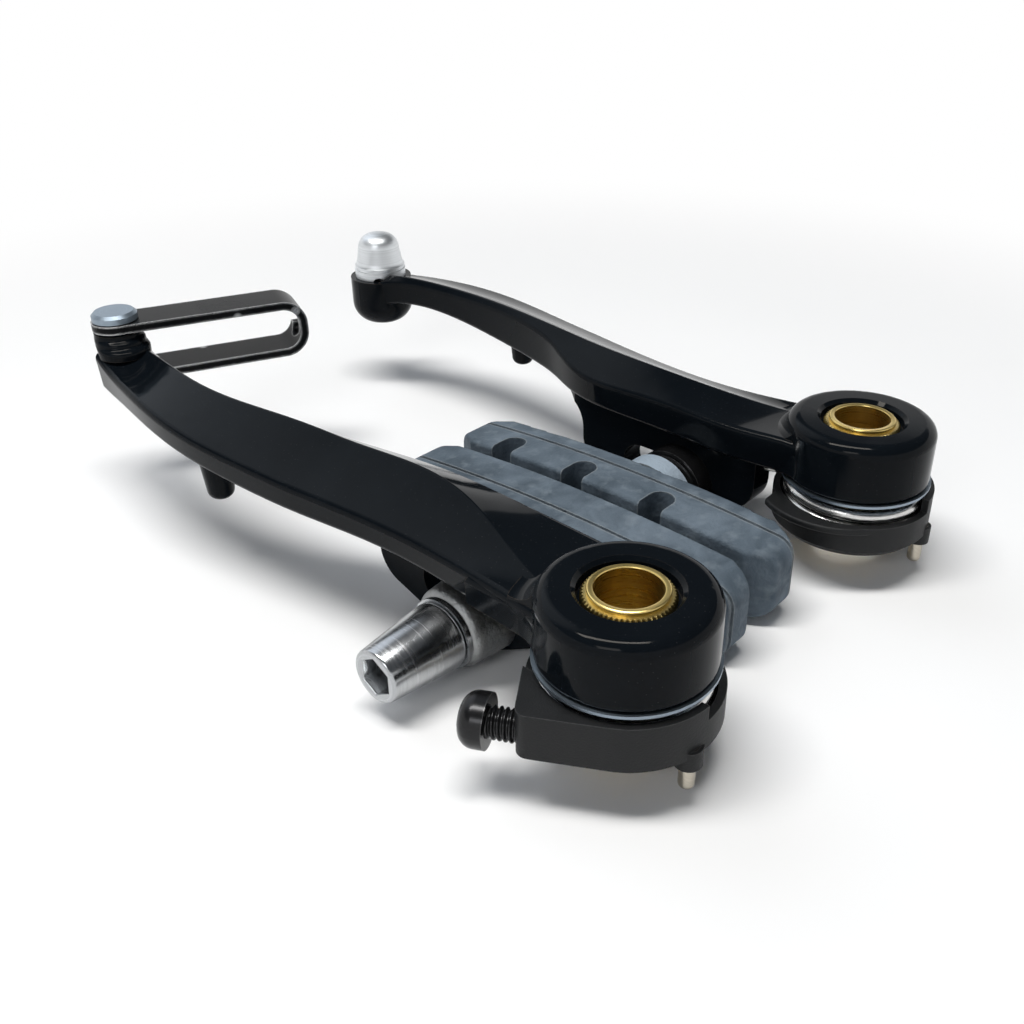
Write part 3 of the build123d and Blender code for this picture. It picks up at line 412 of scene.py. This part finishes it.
# %% Turned finishes
BRASS = (0.92, 0.7, 0.26)
BRIGHT = (0.56, 0.575, 0.59)
ZINC = (0.36, 0.43, 0.5)
ZINC_BRIGHT = (0.86, 0.89, 0.91)
NICKEL = (0.62, 0.57, 0.48)
finishes = {}
for side, sign in (("left", -1), ("right", 1)):
    pivot = (sign * PIVOT_X, 0.0, 0.0)
    post = (sign * PIVOT_X, POST_Y, POST_Z)
    finishes[side + "_pivot_bush"] = turned_metal(side + "_turned_brass", BRASS, (0.2, 0.4), pivot)
    finishes[side + "_thrust_washer"] = turned_metal(side + "_washer_steel", ZINC, (0.3, 0.5), pivot)
    finishes[side + "_locating_pin"] = turned_metal(side + "_pin_nickel", NICKEL, (0.15, 0.3), pivot)
    finishes[side + "_pad_post"] = turned_metal(
        side + "_post_steel", ZINC, (0.25, 0.4), post, TO_POST_AXIS, ring_scale=1500.0)
    bright = turned_metal(
        side + "_bright_plate", BRIGHT, (0.14, 0.32), post, TO_POST_AXIS, ring_scale=2200.0, ring_depth=0.04)
    for kind in ("pad_nut", "outer_ball_washer", "ball_washer"):
        finishes[side + "_" + kind] = bright
finishes["link_rivet"] = turned_metal(
    "rivet_zinc", ZINC, (0.35, 0.5), (-PIVOT_X, TIP_Y, 0.0), ring_depth=0.05)
for name in ("cable_anchor_bolt", "cable_clamp_washer"):
    finishes[name] = turned_metal(
        name + "_plate", ZINC_BRIGHT, (0.34, 0.52), (PIVOT_X, TIP_Y, 0.0), ring_depth=0.06)
print("turned finishes:", len(finishes))

# %% [markdown]
# ## Cast washers
#
# The outer cup washers are cast and tumbled, so their grey skin is uneven and pitted. Lathe rings would look
# wrong there. The moulded grain gives the skin, and the specks of the smears give dark pits.

# %% Cast alloy
CAST_DARK, CAST_PALE, CAST_PIT = (0.2, 0.205, 0.21), (0.42, 0.43, 0.43), (0.1, 0.09, 0.08)
cast_alloy, tree, shader = start_material("cast_alloy", Metallic=1.0)
skin = place(tree, grain_group, Scale=1500.0)
pits = place(tree, smear_group, Scale=70.0)
cast_tone = mix_colour(tree, skin.outputs["Patch"], CAST_DARK, CAST_PALE)
feed(shader, Base_Color=mix_colour(tree, pits.outputs["Speck"], cast_tone, CAST_PIT),
     Roughness=spread(tree, skin.outputs["Height"], 0.3, 0.6),
     Normal=relief(tree, skin.outputs["Height"], 0.55, 0.0003))
print("finish:", cast_alloy.name)

# %% [markdown]
# ## Spring wire
#
# Wire is pulled through a die, so its marks run along it. The spring's mesh carries an attribute that holds
# the direction round the wire and the distance along it. Noise that is fine in the first two numbers and
# stretched in the third gives long scratches that follow every bend.

# %% Drawn wire
WIRE_DARK, WIRE_PALE, WIRE_STAIN = (0.5, 0.5, 0.49), (0.84, 0.83, 0.81), (0.3, 0.28, 0.25)
spring_wire, tree, shader = start_material("spring_drawn_wire", Metallic=1.0)
follow = add(tree, "Attribute", attribute_name="along_wire")
stretched = add(tree, "Mapping", {"Vector": follow.outputs["Vector"], "Scale": (6.0, 6.0, 250.0)})
drawn = add(tree, "TexNoise", {"Vector": stretched.outputs["Vector"], "Scale": 1.5, "Detail": 5.0})
handled = place(tree, smear_group, Scale=150.0)
wire_tone = mix_colour(tree, drawn.outputs["Fac"], WIRE_DARK, WIRE_PALE)
feed(shader, Base_Color=mix_colour(tree, handled.outputs["Speck"], wire_tone, WIRE_STAIN),
     Roughness=spread(tree, drawn.outputs["Fac"], 0.14, 0.38),
     Normal=relief(tree, drawn.outputs["Fac"], 0.15, 0.0001))
print("finish:", spring_wire.name)

# %% [markdown]
# ## Dressing the solids
#
# A CAD node keeps its shape and only gets a finish in its material slot. A dressed copy would look the same,
# but then each solid would be there twice. Springs, bushes and nuts get theirs too, though pieces made below
# take their places.

# %% Assign finishes
for side in ("left", "right"):
    finishes[side + "_arm"] = arm_coat
    finishes[side + "_spring_housing"] = housing_plastic
    finishes[side + "_tension_screw"] = black_steel
    finishes[side + "_cup_washer"] = black_steel
    finishes[side + "_outer_cup_washer"] = cast_alloy
    finishes[side + "_brake_pad"] = pad_rubber
    finishes[side + "_return_spring"] = spring_wire
finishes["noodle_link"] = link_coat
for name, material in finishes.items():
    nodes[name].material_slots[0].material = material
print("dressed:", len(finishes))

# %% [markdown]
# ## Surfaces from arrays
#
# Each new piece is a grid of points: rows along one parameter, columns round the other. The columns close on
# themselves. The rows either close too, which makes a ring, or end in a cap. One function turns such a grid
# into a mesh. It also keeps the mirrored pieces facing outwards, by turning the order of their corners.

# %% Grid mesh


def grid_mesh(name, points, material, ring=False, flip=False, crisp=35.0):
    """Mesh of a (rows, columns, 3) array: quads between neighbours, with capped ends or closed to a ring."""
    rows, columns, _ = points.shape
    spans = rows if ring else rows - 1
    row = np.arange(spans)[:, None] * columns
    above = (np.arange(spans)[:, None] + 1) % rows * columns
    column = np.arange(columns)[None, :]
    after = (column + 1) % columns
    order = -1 if flip else 1
    quads = np.stack([row + column, row + after, above + after, above + column], -1).reshape(-1, 4)
    faces = quads[:, ::order].tolist()
    if not ring:
        faces.append(np.arange(columns)[::-order].tolist())
        faces.append(np.arange((rows - 1) * columns, rows * columns)[::order].tolist())
    mesh = bpy.data.meshes.new(name)
    mesh.from_pydata(points.reshape(-1, 3).tolist(), [], faces)
    mesh.polygons.foreach_set("use_smooth", np.ones(len(mesh.polygons), dtype=bool))
    mesh.set_sharp_from_angle(angle=np.radians(crisp))
    mesh.materials.append(material)
    piece = bpy.data.objects.new(name, mesh)
    bpy.context.scene.collection.objects.link(piece)
    return piece


# %% Places and paths


def on_side(points, sign):
    """Move points drawn round the left pivot, in mm, to their side: left as drawn, right mirrored in x."""
    placed = points * MM
    placed[..., 0] = sign * (PIVOT_X - placed[..., 0])
    return placed


def full_turn(count):
    """Angles of count even steps round a circle."""
    return np.linspace(0.0, 2 * np.pi, count, endpoint=False)


def triangle_wave(turns):
    """Zigzag from 0 up to 1 and back over each whole turn."""
    return 1.0 - np.abs(2.0 * (turns % 1.0) - 1.0)


def spokes(path, angle):
    """Unit vectors round a path that is never upright: cos a N + sin a B, with N = Z x T and B = T x N."""
    along = np.gradient(path, axis=0)
    along /= np.linalg.norm(along, axis=1, keepdims=True)
    level = np.cross([0.0, 0.0, 1.0], along)
    level /= np.linalg.norm(level, axis=1, keepdims=True)
    rising = np.cross(along, level)
    return np.cos(angle)[None, :, None] * level[:, None] + np.sin(angle)[None, :, None] * rising[:, None]


# %% [markdown]
# ## Return springs
#
# Each spring is one length of wire: a straight tail that the tension screw pushes, a coil round the pivot, a
# bend, and a long leg that rises behind the arm and rests on its peg. The centre line is written run by
# run as arrays, and a circle is carried along it.

# %% Spring centre line
WIRE_RADIUS = 0.9
COIL_RADIUS = 9.5
COIL_LOW, COIL_HIGH = 3.256, 6.75
COIL_TURN = np.radians([206.0, 805.0])
TAIL_LENGTH = 5.6
BEND_RADIUS = 3.0
LEG_HIGH = 11.0
CLIMB_FROM, CLIMB_TO, LEG_STRAIGHT, LEG_END = 14.2, 21.0, 28.0, 77.0
CORNER_LENGTH = 0.85
COIL_ROWS, BEND_ROWS, CORNER_ROWS, LEG_ROWS = 220, 16, 9, 8


def soft_corner(before, corner, after):
    """Bend between two runs: the parabola (1-s)^2 A + 2 s (1-s) C + s^2 B, with A and B on the runs."""
    before, corner, after = (np.array(p, float) for p in (before, corner, after))
    start = corner + (before - corner) / np.linalg.norm(before - corner) * CORNER_LENGTH
    end = corner + (after - corner) / np.linalg.norm(after - corner) * CORNER_LENGTH
    s = np.linspace(0.0, 1.0, CORNER_ROWS)[:, None]
    return (1 - s) ** 2 * start + 2 * s * (1 - s) * corner + s ** 2 * end


def spring_path():
    """Tail on the tangent, helix with height in step with angle, arc off the coil, leg with two bends."""
    turn = np.linspace(*COIL_TURN, COIL_ROWS)
    coil = np.column_stack([COIL_RADIUS * np.cos(turn), COIL_RADIUS * np.sin(turn),
                            np.linspace(COIL_LOW, COIL_HIGH, len(turn))])
    tangent = np.array([-np.sin(turn[0]), np.cos(turn[0]), 0.0])
    steps = np.array([1.0, 0.97, 0.75, 0.5, 0.25]) * TAIL_LENGTH
    tail = coil[0] - steps[:, None] * tangent
    middle = coil[-1, :2] * (1 + BEND_RADIUS / COIL_RADIUS)
    swing = np.linspace(turn[-1] - np.pi, np.pi, BEND_ROWS)[1:]
    bend = np.column_stack([middle[0] + BEND_RADIUS * np.cos(swing), middle[1] + BEND_RADIUS * np.sin(swing),
                            np.full(len(swing), COIL_HIGH)])
    x = bend[-1, 0]
    foot, knee, tip = (x, CLIMB_FROM, COIL_HIGH), (x, CLIMB_TO, LEG_HIGH), (x, LEG_END, LEG_HIGH)
    leg_y = np.append(np.linspace(LEG_STRAIGHT, LEG_END - 1.0, LEG_ROWS), [LEG_END - 0.2, LEG_END])
    leg = np.column_stack([np.full(len(leg_y), x), leg_y, np.full(len(leg_y), LEG_HIGH)])
    corners = soft_corner(bend[-1], foot, knee), soft_corner(foot, knee, tip)
    return np.vstack([tail, coil, bend, *corners, leg])


spring_line = spring_path()
travelled = np.append(0.0, np.cumsum(np.linalg.norm(np.diff(spring_line, axis=0), axis=1)))
print("spring length in mm:", round(float(travelled[-1]), 1))

# %% Spring pieces
WIRE_COLUMNS = 20
END_TAPER = 0.8
round_wire = full_turn(WIRE_COLUMNS)
thickness = np.full(len(spring_line), WIRE_RADIUS)
thickness[[0, -1]] *= END_TAPER
spring_skin = spring_line[:, None] + thickness[:, None, None] * spokes(spring_line, round_wire)
along_wire = np.stack(np.broadcast_arrays(
    np.cos(round_wire)[None, :], np.sin(round_wire)[None, :], travelled[:, None] * MM), -1)
for side, sign in (("left", -1), ("right", 1)):
    piece = grid_mesh(side + "_spring_coil", on_side(spring_skin, sign), spring_wire,
                      flip=sign > 0)
    piece.data.attributes.new("along_wire", "FLOAT_VECTOR", "POINT").data.foreach_set(
        "vector", along_wire.astype(np.float32).ravel())
    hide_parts(side + "_return_spring")
    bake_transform(piece)
    print(piece.name, len(piece.data.polygons), "faces")

# %% [markdown]
# ## Pivot bushes
#
# A brass bush is pressed into each boss. It is turned from bar: a plain ring at the top, and below it a
# band of knurling that grips the arm. The surface is a closed profile of radius and height, taken once round
# the axis. In the knurled band its radius dips as a zigzag of the angle, so the teeth are real and catch the
# light.

# %% Bush pieces
TEETH, STEPS_PER_TOOTH = 56, 4
TOOTH_DEPTH = 0.36
bush_profile = np.array([
    (4.15, 0.0), (4.95, 0.0), (5.15, 0.2), (5.15, 15.65), (5.5, 15.66), (5.5, 16.55), (5.3, 16.75),
    (4.78, 16.78), (4.78, 17.22), (4.72, 17.34), (4.6, 17.4), (4.18, 17.4), (4.06, 17.36), (4.0, 17.25),
    (4.0, 0.15)])
knurled = np.zeros(len(bush_profile))
knurled[[4, 5, 6]] = 1.0, 1.0, 0.7
angle = full_turn(TEETH * STEPS_PER_TOOTH)
dip = TOOTH_DEPTH * knurled[:, None] * triangle_wave(TEETH * angle / (2 * np.pi))[None, :]
bush_radius = bush_profile[:, :1] - dip
bush_skin = np.stack([bush_radius * np.cos(angle), bush_radius * np.sin(angle),
                      np.broadcast_to(bush_profile[:, 1:], bush_radius.shape)], -1)
for side, sign in (("left", -1), ("right", 1)):
    piece = grid_mesh(side + "_knurled_bush", on_side(bush_skin, sign), finishes[side + "_pivot_bush"],
                      ring=True, flip=sign > 0, crisp=25.0)
    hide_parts(side + "_pivot_bush")
    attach(piece, side + "_arm_body")
    print(piece.name, len(piece.data.polygons), "faces")

# %% [markdown]
# ## Pad nuts
#
# Each pad post ends in a barrel nut, turned with a slight taper and closed by a hexagon socket for a key.
# The surface is one profile from the floor of the socket, out over its mouth and back along the barrel. A
# row is round, or a hexagon where the radius is half the width across flats over the cosine of the angle
# from the middle of a flat. Small rounds at each rim give the bright lines that sharp CAD edges lack.

# %% Nut pieces
NUT_END, NUT_LENGTH = -16.0, 11.3
SOCKET_FLATS = 4.6
NUT_COLUMNS = 96
# Each row of the profile: distance from the outer end, radius, and 1 where the radius counts in hexagons.
nut_profile = np.array([
    (4.4, 0.98, 1), (4.4, 1.0, 1), (0.3, 1.0, 1), (0.12, 1.04, 1), (0.0, 1.12, 1), (0.0, 3.22, 0),
    (0.06, 3.46, 0), (0.22, 3.63, 0), (0.45, 3.7, 0), (4.0, 4.06, 0), (8.0, 4.45, 0), (10.5, 4.68, 0),
    (10.85, 4.7, 0), (11.1, 4.62, 0), (11.25, 4.45, 0), (NUT_LENGTH, 4.2, 0)])
angle = full_turn(NUT_COLUMNS)
from_flat = (angle + np.pi / 6) % (np.pi / 3) - np.pi / 6
hexagon = SOCKET_FLATS / 2 / np.cos(from_flat)
six_sided = nut_profile[:, 2:]
nut_radius = nut_profile[:, 1:2] * (six_sided * hexagon[None, :] + (1 - six_sided))
nut_skin = np.stack([np.broadcast_to(NUT_END + nut_profile[:, :1], nut_radius.shape),
                     POST_Y / MM + nut_radius * np.cos(angle), POST_Z / MM + nut_radius * np.sin(angle)], -1)
for side, sign in (("left", -1), ("right", 1)):
    piece = grid_mesh(side + "_barrel_nut", on_side(nut_skin, sign), finishes[side + "_pad_nut"],
                      flip=sign > 0, crisp=40.0)
    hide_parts(side + "_pad_nut")
    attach(piece, side + "_post_set")
    print(piece.name, len(piece.data.polygons), "faces")

# %% [markdown]
# ## Forged ledges at the link
#
# Under the link the left arm steps down from its round lug to the bar in two soft ledges, left by the
# forging die. A lathe shape would bulge on all sides, so each ring of this surface also slides along the
# bar: a point is centre + shift towards the pivot + radius (cos a, sin a), with radius, height and shift
# from one table, and it leans outwards by a fifth of the shift. The ring closes inside the lug, unseen.

# %% Ledge piece
LEAN = 0.2
LEDGE_COLUMNS = 72
ledges = np.array([
    (3.74, 21.35, 0.0), (3.76, 20.75, 0.0), (3.84, 20.5, 0.14), (3.93, 20.36, 0.5), (3.98, 20.15, 0.7),
    (3.99, 19.8, 0.74), (4.02, 19.55, 0.82), (4.08, 19.36, 1.15), (4.14, 19.22, 1.6), (4.17, 19.0, 1.8),
    (4.17, 18.6, 1.85), (4.15, 17.8, 1.85), (3.3, 17.8, 0.2), (3.3, 21.35, 0.0)])
ledge_radius, ledge_height, shift = ledges[:, :1], ledges[:, 1:2], ledges[:, 2:]
angle = full_turn(LEDGE_COLUMNS)
ledge_skin = np.stack([ledge_radius * np.cos(angle) - LEAN * shift,
                       TIP_Y / MM - shift + ledge_radius * np.sin(angle),
                       np.broadcast_to(ledge_height, (len(ledges), len(angle)))], -1)
piece = grid_mesh("left_lug_ledges", on_side(ledge_skin, -1), arm_coat, ring=True, flip=True,
                  crisp=60.0)
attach(piece, "left_arm_body")
print(piece.name, len(piece.data.polygons), "faces")

# %% [markdown]
# ## Screw threads
#
# The tension screws show a few turns of thread between head and housing. A thread is a helix-shaped ridge:
# the radius at angle a and distance t is a root plus a zigzag of t / pitch - a / full turn. The zigzag is
# clipped, so crest and root have small flats, and the ridge runs out at the tip. The right-hand screw is
# mirrored, so there the angle counts backwards and its thread is still right-handed.

# %% Thread pieces
THREAD_ROOT, THREAD_CREST, THREAD_PITCH = 1.62, 1.95, 0.7
THREAD_FROM, THREAD_LENGTH, RUN_OUT = -13.55, 5.5, 1.4
FLANK_STEEP, ROOT_FLAT = 1.6, 0.3
THREAD_ROWS, THREAD_COLUMNS = 112, 40
SCREW_HEADING = np.radians(-64.0)
screw_way = np.array([np.cos(SCREW_HEADING), np.sin(SCREW_HEADING), 0.0])
screw_foot = np.array([screw_way[1] * COIL_RADIUS, -screw_way[0] * COIL_RADIUS, COIL_LOW])
reach = np.linspace(0.0, THREAD_LENGTH, THREAD_ROWS)[:, None]
fade = np.clip((THREAD_LENGTH - reach) / RUN_OUT, 0.0, 1.0)
thread_line = screw_foot + (THREAD_FROM + reach) * screw_way
angle = full_turn(THREAD_COLUMNS)
for side, sign in (("left", -1), ("right", 1)):
    ridge = triangle_wave(reach / THREAD_PITCH + sign * angle[None, :] / (2 * np.pi))
    ridge = fade * np.clip(FLANK_STEEP * ridge - ROOT_FLAT, 0.0, 1.0)
    height = THREAD_ROOT + (THREAD_CREST - THREAD_ROOT) * ridge
    skin = thread_line[:, None] + height[..., None] * spokes(thread_line, angle)
    piece = grid_mesh(side + "_screw_thread", on_side(skin, sign), black_steel,
                      flip=sign > 0, crisp=60.0)
    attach(piece, side + "_screw_body")
    print(piece.name, len(piece.data.polygons), "faces")

# %% [markdown]
# ## Studio
#
# The brake stands on white paper that sweeps up into a backdrop, like a bowl. Near the brake the paper is
# plain and takes its shadow. Farther off, the rays from the camera and from shiny metal find it evenly
# white, while its light on the brake stays that of plain paper. A soft box hangs overhead, and a weaker one
# stands beside the camera. The sky is dim, so that black paint keeps its depth, but for one soft patch like
# a window behind the brake, which the tops of the arms and the nuts mirror.

# %% Paper sweep
PAPER_COLUMNS, SWEEP_ROWS = 64, 9
FLAT_RADII = np.array([0.1, 0.3, 0.8, 1.2])
SWEEP_RADIUS, WALL_TOP = 0.4, 0.75
floor_z = cad_box[0][2]
bend = np.linspace(0.0, np.pi / 2, SWEEP_ROWS)[1:]
edge = FLAT_RADII[-1]
out = np.concatenate([FLAT_RADII, edge + SWEEP_RADIUS * np.sin(bend), [edge + SWEEP_RADIUS]])
up = np.concatenate([np.zeros(len(FLAT_RADII)), SWEEP_RADIUS * (1 - np.cos(bend)), [WALL_TOP]])
around = full_turn(PAPER_COLUMNS)
sweep = np.stack([out[:, None] * np.cos(around), out[:, None] * np.sin(around),
                  np.broadcast_to(floor_z + up[:, None], (len(out), PAPER_COLUMNS))], -1)
row = np.arange(len(out) - 1)[:, None] * PAPER_COLUMNS
above = row + PAPER_COLUMNS
column = np.arange(PAPER_COLUMNS)[None, :]
after = (column + 1) % PAPER_COLUMNS
quads = np.stack([row + column, above + column, above + after, row + after], -1).reshape(-1, 4)
disc = np.arange(PAPER_COLUMNS)
paper_mesh = bpy.data.meshes.new("paper_sweep")
paper_mesh.from_pydata(sweep.reshape(-1, 3).tolist(), [], quads.tolist() + [disc.tolist()])
paper_mesh.polygons.foreach_set("use_smooth", np.ones(len(paper_mesh.polygons), dtype=bool))
paper_sweep = bpy.data.objects.new("paper_sweep", paper_mesh)
bpy.context.scene.collection.objects.link(paper_sweep)
print("paper at", round(floor_z / MM, 2), "mm")

# %% Paper finish
FADE_CENTRE = (0.0, 0.05, 0.0)
PLAIN_TO, WHITE_FROM = 0.1, 0.24
PAPER_DARK, PAPER_PALE, UNLIT = (0.93, 0.93, 0.93), (0.95, 0.95, 0.95), (0.0, 0.0, 0.0)
paper, tree, shader = start_material("studio_paper", Specular_IOR_Level=0.0, Roughness=0.9,
                                     Emission_Color=(1.0, 1.0, 1.0, 1.0))
where = add(tree, "TexCoord")
distance = add(tree, "VectorMath", {0: where.outputs["Object"], 1: FADE_CENTRE}, operation="DISTANCE")
far = add(tree, "MapRange", {
    "Value": distance.outputs["Value"], "From Min": PLAIN_TO, "From Max": WHITE_FROM},
    interpolation_type="SMOOTHSTEP")
rays = add(tree, "LightPath")
seen = add(tree, "Math", {0: rays.outputs["Is Camera Ray"], 1: rays.outputs["Is Glossy Ray"]},
           operation="MAXIMUM")
seen = add(tree, "Math", {0: seen.outputs["Value"], 1: rays.outputs["Is Transmission Ray"]},
           operation="MAXIMUM")
even = add(tree, "Math", {0: far.outputs["Result"], 1: seen.outputs["Value"]},
           operation="MULTIPLY").outputs["Value"]
mottle = place(tree, grain_group, Scale=300.0)
paper_tone = mix_colour(tree, mottle.outputs["Patch"], PAPER_DARK, PAPER_PALE)
feed(shader, Base_Color=mix_colour(tree, even, paper_tone, UNLIT), Emission_Strength=even)
paper_mesh.materials.append(paper)
print("finish:", paper.name)

# %% Lamps
MIDDLE = np.array([0.0, 0.045, 0.0])


def soft_box(name, place_at, wide, deep, power, colour):
    """Area lamp aimed at the brake, its long side level across the camera's view."""
    lamp = bpy.data.lights.new(name, "AREA")
    lamp.shape = "RECTANGLE"
    lamp.size, lamp.size_y = wide, deep
    lamp.energy = power
    lamp.color = colour
    back = np.array(place_at) - MIDDLE
    back /= np.linalg.norm(back)
    long_side = right - back * (right @ back)
    long_side /= np.linalg.norm(long_side)
    holder = bpy.data.objects.new(name, lamp)
    holder.matrix_world = stand(long_side, np.cross(back, long_side), back, place_at)
    bpy.context.scene.collection.objects.link(holder)


soft_box("overhead_box", (-0.1, 0.08, 0.62), wide=0.5, deep=0.12, power=3.6, colour=(1.0, 0.99, 0.97))
soft_box("side_box", (-0.42, -0.1, 0.3), wide=0.2, deep=0.12, power=0.4, colour=(0.97, 0.98, 1.0))

# %% Sky
SKY_DIM, SKY_BRIGHT = 0.1, 1.35
WINDOW_HEADING, WINDOW_HEIGHT = np.radians([84.0, 38.0])
WINDOW_OUTER, WINDOW_INNER = np.radians([33.0, 12.0])
window_way = (np.cos(WINDOW_HEADING) * np.cos(WINDOW_HEIGHT), np.sin(WINDOW_HEADING) * np.cos(WINDOW_HEIGHT),
              np.sin(WINDOW_HEIGHT))
world = bpy.data.worlds.new("studio")
world.use_nodes = True
tree = world.node_tree
backdrop = tree.nodes["Background"]
backdrop.inputs["Color"].default_value = (0.86, 0.92, 1.0, 1.0)
ray_way = add(tree, "TexCoord")
facing = add(tree, "VectorMath", {0: ray_way.outputs["Generated"], 1: window_way}, operation="DOT_PRODUCT")
glow = add(tree, "MapRange", {
    "Value": facing.outputs["Value"], "From Min": np.cos(WINDOW_OUTER), "From Max": np.cos(WINDOW_INNER),
    "To Min": SKY_DIM, "To Max": SKY_BRIGHT}, interpolation_type="SMOOTHSTEP")
feed(backdrop, Strength=glow.outputs["Result"])
bpy.context.scene.world = world
print("sky:", world.name)
